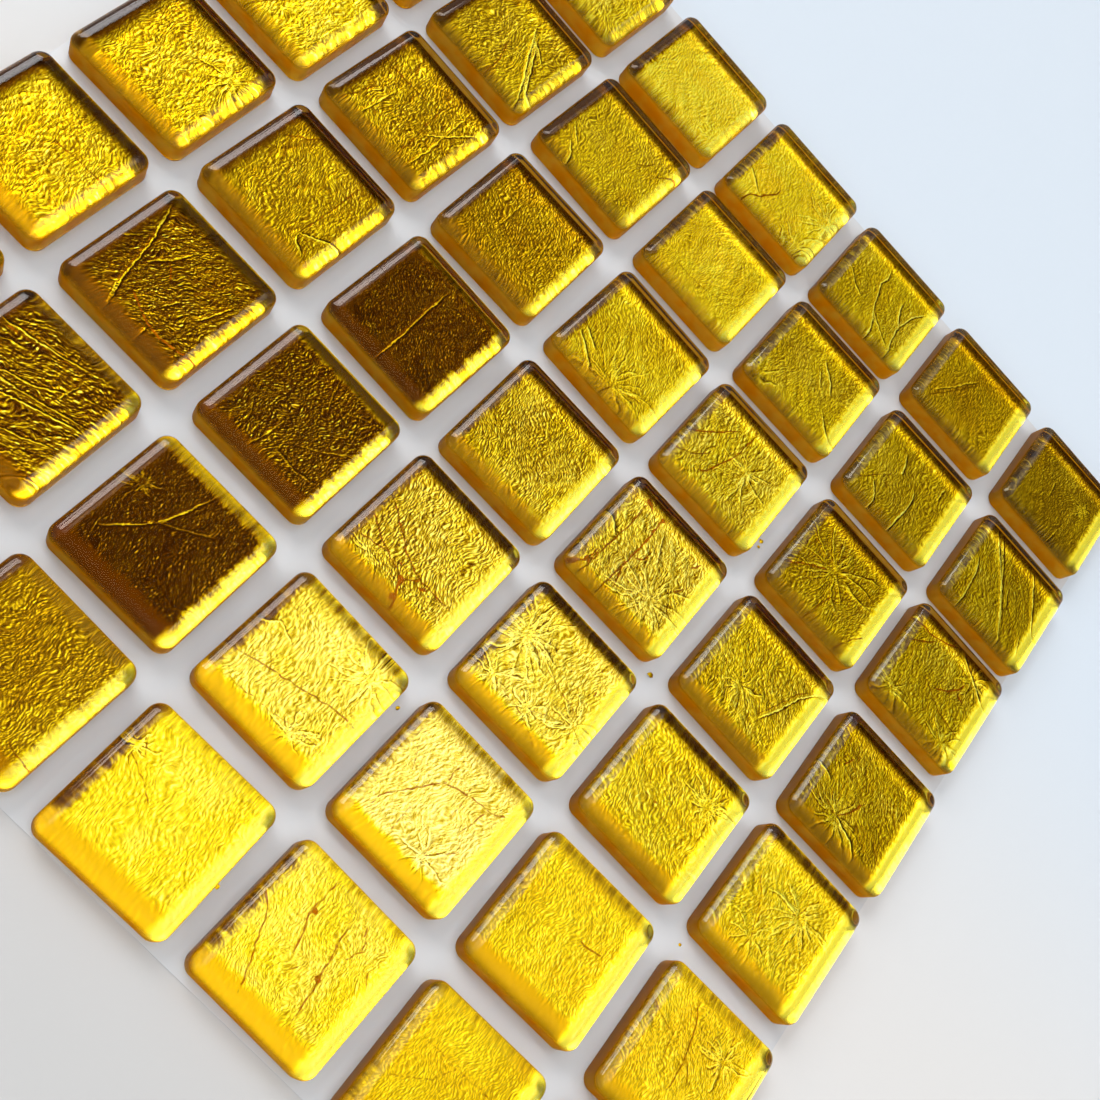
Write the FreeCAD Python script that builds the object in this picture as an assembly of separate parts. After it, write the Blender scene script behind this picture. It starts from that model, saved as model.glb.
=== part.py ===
"""A mosaic tile sheet: square glass chips on one clear film, each with a square of gold foil bonded under it.

Lengths are in millimetres and turns in degrees. The origin is the centre of the film's underside and +Z points
up through the glass. A row of chips runs along X, and the rows are lettered along Y. Every piece of a chip is
drawn about the Z axis and then laid at the chip's place.
"""

import FreeCAD, Part
import math
import os

# Glass chip: its side in plan, its height, and the fire-polished round that runs along its top edge
CHIP_SIDE = 20.0
CHIP_HEIGHT = 4.0
RIM_RADIUS = 1.2
# Straight steps that stand for the rim's quarter round, and for each round corner in plan
RIM_STEPS = 3
CORNER_STEPS = 4
# Radius of the flat top's corners in plan. The corners of the sides are larger by the rim's radius.
TOP_CORNER_RADIUS = 0.8

# Foil under each chip: its thickness, and the bare glass that it leaves along each side
FOIL_THICKNESS = 0.1
FOIL_INSET = 0.2

# Backing film: its thickness, and how far it passes the outer chips however these are laid
FILM_THICKNESS = 0.15
FILM_LIP = 0.2

# The sheet: one letter for each row, the chips in a row, and the open joint between two chips
ROW_LETTERS = "abcdefg"
CHIPS_IN_ROW = 7
JOINT = 3.5

# Chips are laid by hand: each lies up to this far off its place and turned by up to this angle
LAY_SHIFT = 0.3
LAY_TURN = 1.0

# Sizes that follow
SIDE_CORNER_RADIUS = TOP_CORNER_RADIUS + RIM_RADIUS
PITCH = CHIP_SIDE + JOINT
FOIL_SIDE = CHIP_SIDE - 2 * FOIL_INSET
FOIL_Z = FILM_THICKNESS
CHIP_Z = FOIL_Z + FOIL_THICKNESS

UP = FreeCAD.Vector(0, 0, 1)


def rounded_square(side, radius, steps, height):
    """Corner points of a square about the Z axis at this height, each round corner in straight steps."""
    straight = side / 2 - radius
    points = []
    for quarter in range(4):
        corner_turn = FreeCAD.Rotation(UP, 90 * quarter)
        for step in range(steps + 1):
            angle = math.pi / 2 * step / steps
            x = straight + radius * math.cos(angle)
            y = straight + radius * math.sin(angle)
            points.append(corner_turn.multVec(FreeCAD.Vector(x, y, height)))
    return points


def flat_face(points):
    """The face inside a closed run of points that lie in one plane."""
    return Part.Face(Part.makePolygon(points + points[:1]))


def stacked_solid(outlines):
    """The solid closed by its lowest and highest outlines and the bands of flat faces between neighbours."""
    faces = [flat_face(outlines[0]), flat_face(outlines[-1])]
    for lower, upper in zip(outlines, outlines[1:]):
        for index in range(len(lower)):
            faces.append(flat_face([lower[index - 1], lower[index], upper[index], upper[index - 1]]))
    shell = Part.makeShell(faces)
    shell.sewShape()
    return Part.makeSolid(shell)


def glass_chip():
    """One chip standing on the plane Z = 0: upright sides, then the rim's steps up to the flat top."""
    outlines = [rounded_square(CHIP_SIDE, SIDE_CORNER_RADIUS, CORNER_STEPS, 0)]
    for step in range(RIM_STEPS + 1):
        angle = math.pi / 2 * step / RIM_STEPS
        inset = RIM_RADIUS * (1 - math.cos(angle))
        height = CHIP_HEIGHT - RIM_RADIUS * (1 - math.sin(angle))
        corner_radius = SIDE_CORNER_RADIUS - inset
        outlines.append(rounded_square(CHIP_SIDE - 2 * inset, corner_radius, CORNER_STEPS, height))
    return stacked_solid(outlines)


def foil_square():
    """One square of foil on the plane Z = 0, with its corners cut straight inside the chip's round ones."""
    outline = rounded_square(FOIL_SIDE, SIDE_CORNER_RADIUS, 1, 0)
    return flat_face(outline).extrude(UP * FOIL_THICKNESS)


def unevenness(row, column, kind):
    """A number from -1 to 1 that differs from chip to chip and, by its kind, for X, Y and the turn."""
    return math.sin(5.3 * row + 3.1 * column + 1.7 * row * column + 2.2 * kind)


def chip_place(row, column, height):
    """Where a chip, or its foil, is laid: its grid place with the hand's small shift and turn."""
    x = (column - (CHIPS_IN_ROW - 1) / 2) * PITCH + LAY_SHIFT * unevenness(row, column, 0)
    y = (row - (len(ROW_LETTERS) - 1) / 2) * PITCH + LAY_SHIFT * unevenness(row, column, 1)
    turn = FreeCAD.Rotation(UP, LAY_TURN * unevenness(row, column, 2))
    return FreeCAD.Placement(FreeCAD.Vector(x, y, height), turn)


def laid(shape, row, column, height):
    """A copy of a shape, laid at a chip's place."""
    copy = shape.copy()
    copy.Placement = chip_place(row, column, height)
    return copy


def backing_film():
    """The film, on the plane Z = 0: it passes the furthest reach of an outer chip by the lip."""
    reach = LAY_SHIFT + CHIP_SIDE / 2 * math.sin(math.radians(LAY_TURN)) + FILM_LIP
    length = (CHIPS_IN_ROW - 1) * PITCH + CHIP_SIDE + 2 * reach
    width = (len(ROW_LETTERS) - 1) * PITCH + CHIP_SIDE + 2 * reach
    corner = FreeCAD.Vector(-length / 2, -width / 2, 0)
    return Part.makeBox(length, width, FILM_THICKNESS, corner)


def main():
    os.makedirs("parts", exist_ok=True)
    backing_film().exportStep("parts/backing_film.step")
    chip = glass_chip()
    foil = foil_square()
    for row, letter in enumerate(ROW_LETTERS):
        foil_row = [laid(foil, row, column, FOIL_Z) for column in range(CHIPS_IN_ROW)]
        Part.makeCompound(foil_row).exportStep(f"parts/foil_row_{letter}.step")
        for column in range(CHIPS_IN_ROW):
            laid(chip, row, column, CHIP_Z).exportStep(f"parts/glass_chip_{letter}{column + 1}.step")


main()
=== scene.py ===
"""Looks of the mosaic tile sheet: clear glass chips over crinkled gold foil, on a thin clear film.

Everything is in metres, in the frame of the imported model. Each chip and each foil square is built about its
own centre and laid where the model's chip lies. Small sizes are written as millimetres times MM.
"""

import math

import bpy
import numpy as np
from mathutils import Matrix, Vector


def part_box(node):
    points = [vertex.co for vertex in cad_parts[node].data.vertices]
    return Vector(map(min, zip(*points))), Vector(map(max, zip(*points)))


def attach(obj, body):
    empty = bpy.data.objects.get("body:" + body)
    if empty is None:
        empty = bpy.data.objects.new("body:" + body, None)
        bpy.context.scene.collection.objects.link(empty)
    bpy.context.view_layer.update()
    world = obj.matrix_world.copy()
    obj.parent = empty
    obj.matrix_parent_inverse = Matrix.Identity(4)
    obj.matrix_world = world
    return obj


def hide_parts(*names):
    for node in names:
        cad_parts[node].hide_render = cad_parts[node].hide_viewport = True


MM = 0.001
ROW_LETTERS = "abcdefg"
CHIPS_IN_ROW = 7

# Camera, as it stood over the sheet: its place, the point on the sheet at the picture's middle, its roll in
# degrees, its lens in millimetres and the nearest distance that it shows
CAMERA_AT = Vector((-8.7, -95.0, 157.1)) * MM
CAMERA_AIM = Vector((11.9, -7.9, 0.0)) * MM
CAMERA_ROLL = 58.5
CAMERA_LENS = 42.1
CAMERA_NEAR = 5 * MM

# Glass chip: the width and drop of its fire-polished rim, the radius of its corners in plan, the round of
# its foot, the steps that draw each of them, and its gap over the film
RIM_WIDTH = 2.0 * MM
RIM_DROP = 1.35 * MM
CORNER_RADIUS = 1.8 * MM
LEAST_CORNER = 0.2 * MM
FOOT_RADIUS = 0.25 * MM
RIM_STEPS = 10
CORNER_STEPS = 8
FOOT_STEPS = 2
CHIP_GAP = 0.01 * MM
# Steepest that an upright face of the model may lean, as the Z of its normal
MOST_LEAN = 0.01

# The glass, and the amber on its walls, which is partly the leaf's lacquer and partly painted reflection of
# the gold leaf that the walls show: the tint that each gives to light, the amber's own colours and its
# colour in painted shade, the share of a wall that it covers, the share of its light that comes from within,
# how it starts over the rim, and how often its colour drifts
GLASS_IOR = 1.5
GLASS_ROUGHNESS = 0.03
GLASS_TINT = (1.0, 1.0, 0.98, 1.0)
WALL_TINT = (1.0, 0.64, 0.04, 1.0)
WALL_AMBER_ORANGE = (1.0, 0.40, 0.0, 1.0)
WALL_AMBER_GOLD = (1.0, 0.56, 0.03, 1.0)
WALL_AMBER_SHADED = (0.36, 0.14, 0.0, 1.0)
WALL_AMBER_COVER = 0.7
WALL_AMBER_GLOW = 0.4
WALL_AMBER_RISE = 1.3
WALL_AMBER_DRIFTS_IN_METRE = 330.0
# Painted shade on the walls' amber: how far it turns to its shaded colour on the sides to +X, +Y, -X and -Y
WALL_AMBER_SIDE_SHADE = (0.0, 0.15, 0.9, 0.0)
# Shares of the glass's own gloss that its flat top, its lacquered walls and its rim to +X, +Y, -X and -Y
# keep
TOP_GLOSS = 0.06
WALL_GLOSS = 0.3
RIM_GLOSS = (1.0, 0.25, 1.15, 0.15)
# The share that every surface keeps on its inner side, where the glass mirrors its own foil
INSIDE_GLOSS = 0.85

# Foil square: cells along a side, how far it stays inside the chip, its corners' radius and its height on
# the film
FOIL_CELLS = 92
FOIL_INSET = 0.25 * MM
FOIL_CORNER = 1.6 * MM
FOIL_LEVEL = 0.2 * MM

# Crinkles of the leaf, in millimetres: the height of its slow swell, and for its folds and its wrinkles the
# height, the length of a wave and the size of a patch of waves
SWELL_HEIGHT = 0.03
FOLD_HEIGHT = 0.0075
FOLD_WAVE = 2.4
FOLD_PATCH = 1.6
WRINKLE_HEIGHT = 0.009
WRINKLE_WAVE = 0.9
WRINKLE_PATCH = 0.8
# Reach of a patch in patch sizes, and the area that each patch is given, as a share of its circle
PATCH_REACH = 2.3
PATCH_SHARE = 0.42
# Upward bend of the leaf beside its +X edge: where it starts, and one over its radius in millimetres
CURL_START = 2.2
CURL = 0.09
# Where the leaf comes to rest: distances in millimetres from its edges to +X, -X, +Y and -Y, and the fade
# beyond
EDGE_MARGINS = (1.0, 0.9, 0.2, 2.4)
EDGE_FADE = 1.4
# Ragged inner border of the leaf's painted light and shade bands at its edges: reach and width of its hairs,
# and the border's softness
HAIR_REACH = 0.32
HAIR_WIDTH = 0.35
BAND_SOFTNESS = 0.8
# Height of a crease and depth of a tear, and how far the arms of stars, the tears and the creases waver
CREASE_HEIGHT = 0.05
TEAR_DEPTH = 0.03
ARM_WAVER = 0.16
CREASE_WAVER = 0.1
# Millimetres that stand for "no line near"
NO_LINE = 9.0
# Features of the finest grain in a millimetre, across its flow and along it, and the slow bends of the
# flow: size and width in millimetres, and the step to their own seed
GRAIN_ACROSS = 3.5
GRAIN_ALONG = 1.6
GRAIN_BENDS = ((0.75, 3.8, 3), (0.26, 1.2, 4))
# Grid on which the crinkles are worked out, before the mesh takes them, and the cells of a noise table
FINE_STEP = 0.1
FINE_HALF = 10.4
NOISE_CELLS = 64
# Fields that the foil's material reads at each point: where its grain lies, its paint, and its lines and
# tears
FOIL_FIELDS = {
    "grain": ("across", "along", "seed"),
    "paint": ("tone", "rough", "amber"),
    "lines": ("ray", "ray_near", "seed"),
    "tears": ("tear", "tear_near", "seed"),
}

# Colours of the leaf, its painted light and shade included, from its deepest flanks to its palest crests
FOIL_TONES = (
    (0.0, (0.03, 0.007, 0.0001)),
    (0.18, (0.115, 0.036, 0.0004)),
    (0.38, (0.29, 0.145, 0.001)),
    (0.60, (0.62, 0.42, 0.003)),
    (0.78, (0.90, 0.68, 0.010)),
    (0.90, (1.0, 0.82, 0.035)),
    (1.0, (1.0, 0.93, 0.12)),
)
# What warmth does to them, the painted highlight that paleness adds to their crests, how tears brown them
# and where strong turn red, and the leaf's roughness
WARM_TINT = (1.0, 0.68, 0.1, 1.0)
PAINTED_CREST_HIGHLIGHT = (0.0, 0.05, 0.22, 1.0)
TEAR_TINT = (0.45, 0.25, 0.2, 1.0)
TEAR_RED = (0.38, 0.10, 0.001, 1.0)
LEAF_ROUGHNESS = 0.25

# Film: how it bends light, its clear and its milky part with the milky share, and its waves
FILM_IOR = 1.45
FILM_ROUGHNESS = 0.12
FILM_CLEAR = (0.98, 0.98, 0.99, 1.0)
FILM_HAZE = (0.79, 0.805, 0.825, 1.0)
FILM_MILKINESS = 0.82
FILM_WAVES_IN_METRE = 110.0
FILM_WAVE_HEIGHT = 1.2 * MM

# Floor: half its side, its drop below the sheet, and its colours beyond the sheet, beside it and on the
# near side, in painted light, cool beyond and in painted shade greyer near, with the places along Y between
# which one turns into the next
FLOOR_HALF = 1.5
FLOOR_DROP = 0.02 * MM
FLOOR_LIGHT_COLOURS = ((0.655, 0.72, 0.79, 1.0), (0.72, 0.70, 0.68, 1.0), (0.575, 0.565, 0.555, 1.0))
FLOOR_TURNS = ((0.06, -0.03), (-0.03, -0.10))
FLOOR_ROUGHNESS = 0.6

# Light of the room, each spot as strength and (u, v, width, depth, inner, outer) on a ceiling one unit up,
# along X and Y: light over the near side, a tall window on the left, and weaker spots over the far side
SKY_SPOTS = [
    (1.1, (0.24, 0.16, 0.72, 0.42, 0.80, 1.15)),
    (1.0, (0.12, 0.36, 0.16, 0.16, 0.4, 1.3)),
    (0.45, (0.15, 0.62, 0.30, 0.12, 0.5, 1.4)),
    (0.25, (0.10, 0.80, 0.35, 0.35, 0.5, 1.3)),
    (0.85, (-0.03, 1.05, 0.16, 0.25, 0.5, 1.3)),
    (0.5, (0.0, 1.9, 1.6, 0.5, 0.5, 1.1)),
    (1.0, (0.1, -0.5, 0.8, 0.4, 0.6, 1.1)),
    (6.0, (-1.0, 0.65, 0.50, 0.50, 0.85, 1.06)),
    (5.0, (-2.2, 0.9, 0.8, 0.7, 0.7, 1.1)),
    (0.8, (0.0, -2.2, 3.0, 1.3, 0.7, 1.2)),
    (0.6, (-0.40, 0.85, 0.28, 0.45, 0.5, 1.2)),
    (0.5, (3.5, 0.0, 2.0, 3.0, 0.7, 1.2)),
    (0.2, (0.0, 4.0, 3.0, 2.0, 0.7, 1.2)),
]
SKY_SHADE = (0.15, (-0.14, 0.36, 0.14, 0.24, 0.75, 1.25))
SKY_LEVEL = 0.34
SKY_COLOUR = (0.97, 0.985, 1.0, 1.0)
BACKDROP_COLOUR = (0.86, 0.88, 0.92, 1.0)
# The lowest that a direction's Z counts, so that the ceiling has an end
LEAST_RISE = 0.02

# Marks of single foil squares, read one by one. Places are in millimetres from the chip's centre along +X and
# +Y. A star is its place, reach and number of arms. A crease stands up bright, and a tear is brown and,
# where strong, red: each is its strength and the points of its bent line. A patch of red lacquer is its
# place and size. Tone goes from 0, deepest, to 1, and warm is the leaf's amber, or below 0 its paleness.
# Rough is the strength of the wrinkles and of their painted light and shade, fine how fine they are, heading
# their direction in radians and spread how far it varies.
# A crease's bright crest is a painted highlight, and warm below 0 pales the crests as a painted highlight. On
# the darkest squares the low tone is partly the leaf's own and partly painted reflection of the dark that
# they mirror.
TILE_MARKS = {
    "g3": {"tone": 0.77, "warm": 0.15},
    "g4": {
        "tone": 0.74, "warm": 0.2, "rough": 0.6,
        "stars": [(8, 2.2, 7, 14), (6.3, -6.8, 7, 16)],
        "creases": [(0.8, [(-8, -1.5), (-4, -4.5)])],
        "tears": [(0.9, [(-1.6, 0.3), (-1.7, -1.2), (-3.3, -4.2), (-5.3, -6.2), (-6, -8)])],
    },
    "g5": {
        "tone": 0.56, "rough": 0.7,
        "creases": [
            (1.0, [(-2, 7.5), (-1.4, 5), (-1.8, 3), (-0.8, 0.5), (0, -2), (1.5, -5), (2.8, -8)]),
            (1.0, [(3.2, 4.5), (3.8, 2), (5.4, -1), (5.8, -4), (7, -7.5)]),
            (0.9, [(7.8, 6), (6.3, 3.4), (5.4, -1)]), (0.7, [(-8, 1), (-5, -1.5), (-3, -2.5)]),
            (0.7, [(0, -2.2), (3, -4.5), (6, -6)]),
        ],
    },
    "g6": {
        "tone": 0.5, "warm": 0.25, "rough": 0.7,
        "creases": [(0.6, [(-0.6, 5.5), (-3.5, 0.3), (-6.5, -4.2)])],
        "tears": [(0.5, [(0.3, 6), (-0.9, 3.4), (-3, -0.5), (-6, -5), (-7.6, -8)])],
    },
    "g7": {
        "tone": 0.42, "rough": 0.7,
        "stars": [(5, 3.5, 2.4, 18)],
        "creases": [
            (0.7, [(-7.5, 5), (-8, 1), (-7.6, -3)]), (0.6, [(-2, 3), (-1.6, 0)]),
            (0.6, [(3, -4), (2.8, -8)]),
        ],
    },
    "f2": {
        "tone": 0.48, "rough": 1.0,
        "creases": [
            (1.0, [(0, 6.5), (3, 1), (5.5, -3), (8, -7.5)]), (1.0, [(1.5, 5), (4, 1), (7, -4), (8.5, -6)]),
            (0.8, [(2, 4), (5.5, 1.5)]),
        ],
        "tears": [(0.7, [(-0.8, 1), (0.6, -3), (1.2, -6), (1.9, -9)])],
    },
    "f3": {
        "tone": 0.52, "warm": 0.05, "rough": 0.8,
        "creases": [(0.8, [(-6.5, -4), (-4.5, -6), (-2.5, -8.5)]), (0.7, [(-8, -1), (-5, -4)])],
        "tears": [(0.5, [(5.2, 6), (4.3, 4), (2.8, 2.2)]), (0.6, [(8.8, 7.8), (8, 5.6), (6.6, 3.8)])],
    },
    "f4": {
        "tone": 0.68, "warm": 0.15, "rough": 0.75, "fine": 1.2,
        "tears": [(0.35, [(-6, -4), (-2, -4.3), (2, -3.8), (6, -2.4)])],
    },
    "f5": {
        "tone": 0.54, "rough": 0.8,
        "stars": [(-7.8, -6.5, 5, 10)],
        "creases": [
            (0.9, [(0, 5.5), (3, 3), (4.6, 0.6)]), (0.7, [(0.5, 3.3), (2.2, 0.5)]),
            (0.8, [(5, -2.5), (7, -4.5), (9, -6)]),
        ],
        "tears": [(0.35, [(-7, 1), (-4, 4), (-0.8, 6.6)])],
    },
    "f6": {
        "tone": 0.51, "rough": 0.75,
        "creases": [
            (1.0, [(-3.2, 5.6), (-2.2, 3.6), (-1.8, 1.3)]),
            (1.0, [(1.2, 1.5), (2.2, 0), (2.2, -3), (1.8, -7), (1.3, -9)]),
            (0.9, [(-5.6, -3), (-3.6, -5.2), (-2.8, -7.5), (-3.4, -9)]), (0.8, [(5.6, 6.4), (5.7, 3.4)]),
        ],
        "tears": [(0.5, [(-2.8, 0.4), (-5, -2), (-7.6, -5.5)])],
    },
    "f7": {
        "tone": 0.5, "rough": 0.8,
        "creases": [
            (1.0, [(-6.4, 9.5), (-3.5, 6), (-0.4, 2), (3, -4), (4.8, -7.4)]),
            (0.8, [(-5, 9.5), (-2.6, 6), (0.4, 1), (4, -5)]), (1.0, [(3.2, 9.2), (6, 4.5), (9.4, -1.6)]),
            (0.9, [(-6.6, 3), (-5.2, -0.5), (-5, -4), (-4.6, -8)]), (0.7, [(1, 2.6), (2.4, -0.6)]),
            (0.7, [(7.2, -2.5), (8.4, -6)]),
        ],
    },
    "e2": {
        "tone": 0.42, "warm": 0.15,
        "creases": [
            (0.8, [(8, 6.5), (5.8, 2.2), (3.2, -1)]), (0.7, [(8.5, 1.5), (8.6, -7)]),
            (0.6, [(-4, 1), (-4.4, -7)]), (0.6, [(5, 7), (5.6, -2), (5.2, -7)]),
        ],
        "tears": [
            (0.55, [(-9, 3.3), (-4, 3.3), (0.6, 4)]), (0.6, [(2, 9), (2.3, 2), (3, -3), (3.4, -8)]),
            (0.6, [(-6.2, -1), (-7, -5), (-8, -7.5)]),
        ],
    },
    "e3": {
        "tone": 0.38, "warm": 0.25, "rough": 1.1,
        "creases": [(0.5, [(-3.3, 5), (-3.4, -2)]), (0.4, [(3, 5), (4, 0), (5.6, -4)])],
    },
    "e4": {
        "tone": 0.57, "warm": 0.12, "rough": 0.9,
        "stars": [(1, -6, 11, 22)],
        "creases": [(1.0, [(-8, -3.2), (-5.5, -4.8), (-2.4, -7)]), (0.9, [(-7.5, -2), (-4, -4)])],
        "tears": [
            (0.6, [(3.8, -4.9), (6.4, -4.2)]), (0.6, [(0, -8.4), (1.6, -5.8)]),
            (0.4, [(-8, -3.6), (-3.4, -7)]),
        ],
    },
    "e5": {
        "tone": 0.58, "warm": -0.15,
        "stars": [(2.2, 1.4, 6.5, 12)],
        "tears": [
            (0.8, [(-2.2, 6.6), (-5.5, 2.6), (-9, -1.2)]),
            (0.8, [(-0.2, 9), (-0.6, 2), (-2.6, -3.6), (-4.2, -5.4)]),
            (0.5, [(-9, -4.8), (-6, -3.4), (-3.6, -0.6)]), (0.6, [(6.5, -6.5), (5.3, -8.4)]),
        ],
    },
    "e6": {
        "tone": 0.47, "rough": 0.85,
        "stars": [(-1, 1.8, 9.5, 16)],
        "tears": [
            (0.8, [(-1.6, 1.4), (-5, -1), (-8.4, -4)]), (0.6, [(1.2, -1), (0.4, -4), (-0.8, -8.6)]),
            (0.6, [(9.2, -2.4), (7.4, -5), (5.4, -8.6)]), (0.5, [(4.8, 6.4), (2.8, 4.6)]),
        ],
    },
    "e7": {
        "tone": 0.53, "rough": 0.9,
        "stars": [(5.2, 6.8, 5, 14), (-5.6, -5.8, 4.5, 12), (6.4, -5.6, 5, 12)],
        "creases": [(0.9, [(1, 9.4), (5, 7), (9.4, 4.4)])],
        "tears": [
            (0.9, [(-8.2, 6.8), (-4, 7.4), (0.6, 9.4)]), (0.8, [(-7.4, 3.4), (-3.4, 7)]),
            (1.0, [(0, 0.2), (2.6, 2), (4, 3.6), (4.6, 5.6)]), (1.0, [(4, 3), (5.8, 2.4)]),
            (0.5, [(-2, 1), (3, -2), (9, -3)]),
        ],
    },
    "d1": {"tone": 0.47, "stars": [(5.8, 5, 6, 14)]},
    "d2": {
        "tone": 0.42, "rough": 0.9,
        "creases": [(0.8, [(3.8, -4), (6.4, -2.6), (9, -0.6)]), (0.7, [(3.6, -4), (5, -5.4), (6.6, -6)])],
        "tears": [
            (0.65, [(-3.6, 9.6), (-5.4, 7.4), (-8.2, 4.4)]), (0.5, [(4.2, 9.6), (4.2, 0), (4, -4)]),
            (0.5, [(-7.4, 2), (-8.8, 0.2)]),
        ],
    },
    "d3": {
        "tone": 0.06, "warm": 0.2, "rough": 0.75, "fine": 1.5,
        "creases": [(1.0, [(-1, 7.6), (-0.9, 3), (-0.6, -1), (-0.5, -5), (-0.4, -9)])],
    },
    "d4": {"tone": 0.47, "warm": -0.12, "rough": 1.2, "fine": 1.2},
    "d5": {
        "tone": 0.56, "warm": -0.3, "rough": 1.3,
        "stars": [(3.8, -3.2, 8.5, 22)],
        "patches": [(-5.4, 8.4, 0.6), (-2.3, 8.0, 0.45), (-6.8, -5.6, 0.5), (-1.6, -1.6, 0.4)],
        "creases": [(0.8, [(-9, 3), (-6.4, 0.4)]), (0.7, [(-1, 6.5), (1.4, 1.6)])],
        "tears": [
            (0.7, [(-5.8, 9), (-5.6, 3), (-6.2, -4), (-6.6, -9)]), (0.9, [(-5.6, 8.6), (-4.4, 7.6)]),
            (1.0, [(-2.4, 9), (-2.2, 2), (-2.4, -2), (-1.4, -6)]), (0.7, [(-2.4, -2), (-3, -9)]),
            (0.9, [(-6.6, -3), (-7, -6), (-9, -7.8)]), (0.8, [(-0.2, 2), (-1.8, 0)]),
            (0.7, [(6.6, 7.6), (5.4, 5.6)]), (0.7, [(6.6, 2.6), (5.6, 0.8)]),
        ],
    },
    "d6": {
        "tone": 0.52, "rough": 1.0,
        "stars": [(-1.6, -1.4, 4.5, 12)],
        "creases": [(0.9, [(9.2, 8), (6.8, 4.8), (5.2, 0.6), (3.2, -3.6)])],
        "tears": [(0.5, [(8.4, 8), (6.2, 5), (4.6, 1), (2.6, -3.6)])],
    },
    "d7": {
        "tone": 0.47,
        "stars": [(-1.9, -4.2, 6.5, 16)],
        "creases": [(0.8, [(-8.8, 1), (-5.4, -0.8)]), (0.9, [(-2, -4.2), (2.4, -5.6), (4.2, -7.6)])],
        "tears": [(0.8, [(-1.9, -4.2), (-0.2, -2), (1, 0.8)]), (0.8, [(-4.2, 5), (-5.4, 2.6)])],
    },
    "c1": {"tone": 0.48, "tears": [(0.5, [(-1, 2.6), (4, 3), (9.6, 3.2)])]},
    "c2": {
        "tone": 0.16, "heading": -0.8, "spread": 0.4,
        "creases": [
            (1.0, [(-8.6, 9), (-6, 2.4), (-5, -2.4), (-3.2, -7.6)]),
            (0.9, [(-4.6, -4.4), (-3.8, -6.6), (-2.4, -8.8)]), (0.8, [(-1.4, 6.6), (-2.6, 3.2), (-4.6, 0)]),
            (0.9, [(6.8, 5), (6, 1.4), (5, -0.8)]), (0.9, [(2.2, 0), (1, -3)]), (0.8, [(2, -6), (2.4, -9)]),
            (0.6, [(-7.4, 2.6), (-9, 0.4)]),
        ],
        "tears": [(0.9, [(-3.4, -3.4), (0, -5), (4, -6), (9.4, -4.6)]), (0.7, [(-2.6, 2.6), (-0.4, 0.4)])],
    },
    "c3": {
        "tone": 0.09, "rough": 1.0,
        "creases": [
            (0.6, [(-0.8, 9), (0, 6.6), (1.4, 4)]), (0.5, [(6, 7.6), (3, 5.8)]),
            (0.5, [(-6.2, -2), (-5, -4), (-4.6, -7)]), (0.6, [(-1.4, -0.4), (-1.6, -4), (-2.4, -7.6)]),
            (0.5, [(0.4, -4.8), (4, -5.2), (7.4, -4.4)]), (0.5, [(8, 2.4), (4.6, -0.6), (1.6, -2.6)]),
        ],
    },
    "c4": {
        "tone": 0.49, "warm": -0.35, "rough": 1.3,
        "stars": [(-5.2, -5.4, 5, 13)],
        "patches": [
            (0.4, -5.0, 0.7), (-1.2, -3.4, 0.35), (3.2, -3.6, 0.6), (0.9, -7.2, 0.4), (9.0, 8.4, 0.5),
        ],
        "tears": [
            (1.0, [(0.3, -4.6), (0.4, -5.4), (1.8, -7.6), (3, -9.4)]),
            (0.7, [(-9.6, 3.4), (-5, 0.6), (-1.6, -1.6), (2, -3), (8.4, -3)]),
            (0.8, [(0.4, -4.6), (2.2, -3.2)]), (0.6, [(-9.4, -0.4), (-5, -3), (-1, -4.2), (0.3, -5)]),
            (0.5, [(-8, -4.4), (-3.6, -3.6)]),
        ],
    },
    "c5": {
        "tone": 0.64, "warm": -0.4, "rough": 1.1, "fine": 0.85,
        "stars": [(-6, 2.8, 10, 26), (7.2, -1.6, 6, 12), (0.6, -4.6, 4, 8), (-5.6, -4.8, 4.5, 10)],
        "tears": [
            (0.35, [(-5.8, 2.8), (0, 1.2), (5.6, 0), (7.2, -1.6)]), (0.4, [(1, -4.6), (7, -1.6)]),
            (0.35, [(-5, -5), (0, -5.6), (6, -8)]), (0.6, [(6.4, 4.6), (6.6, 3.4)]),
        ],
    },
    "c6": {
        "tone": 0.59, "warm": 0.05, "rough": 0.9,
        "stars": [(5.6, 4.6, 6, 18)],
        "tears": [
            (0.4, [(-4.4, 5), (-3.8, 2), (-2.6, 0)]), (0.3, [(-3, -0.6), (3, -0.4), (9, 0.2)]),
            (0.35, [(1.4, -0.4), (1.4, -3)]),
        ],
    },
    "c7": {
        "tone": 0.7, "warm": 0.2, "rough": 0.8,
        "stars": [(2.6, 3, 7, 20), (-2, -4.2, 4.5, 8)],
        "tears": [(0.4, [(-7, 5), (-4, 1), (-1.8, -4), (-2.2, -7)]), (0.35, [(4.4, -0.6), (4.6, -4)])],
    },
    "b2": {
        "tone": 0.21, "rough": 1.35, "fine": 0.8, "heading": 2.0, "spread": 0.4,
        "creases": [
            (0.9, [(-9.6, 5), (-3, 6.4), (3, 8)]), (0.8, [(-9, 2.6), (-4, 4.6)]),
            (0.9, [(-5, 0), (0, 2), (3, 4)]), (1.0, [(-4, -2.4), (1, -0.4), (8, 2)]),
            (0.9, [(-2, -5.6), (3, -4), (7, -2)]), (0.8, [(-6, -1), (3, 1.2), (9, 3.2)]),
            (0.8, [(2, -8), (4.4, -5.6)]), (0.8, [(5, -8.6), (9, -6)]), (0.7, [(3, 6), (2.6, 2.4)]),
            (0.7, [(4, 5), (9, 6.6)]),
        ],
        "tears": [(0.6, [(-9.4, 4.6), (-3, 6), (2, 7.4)]), (0.6, [(-1.6, -5.6), (2.6, -4.4)])],
    },
    "b3": {
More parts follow.
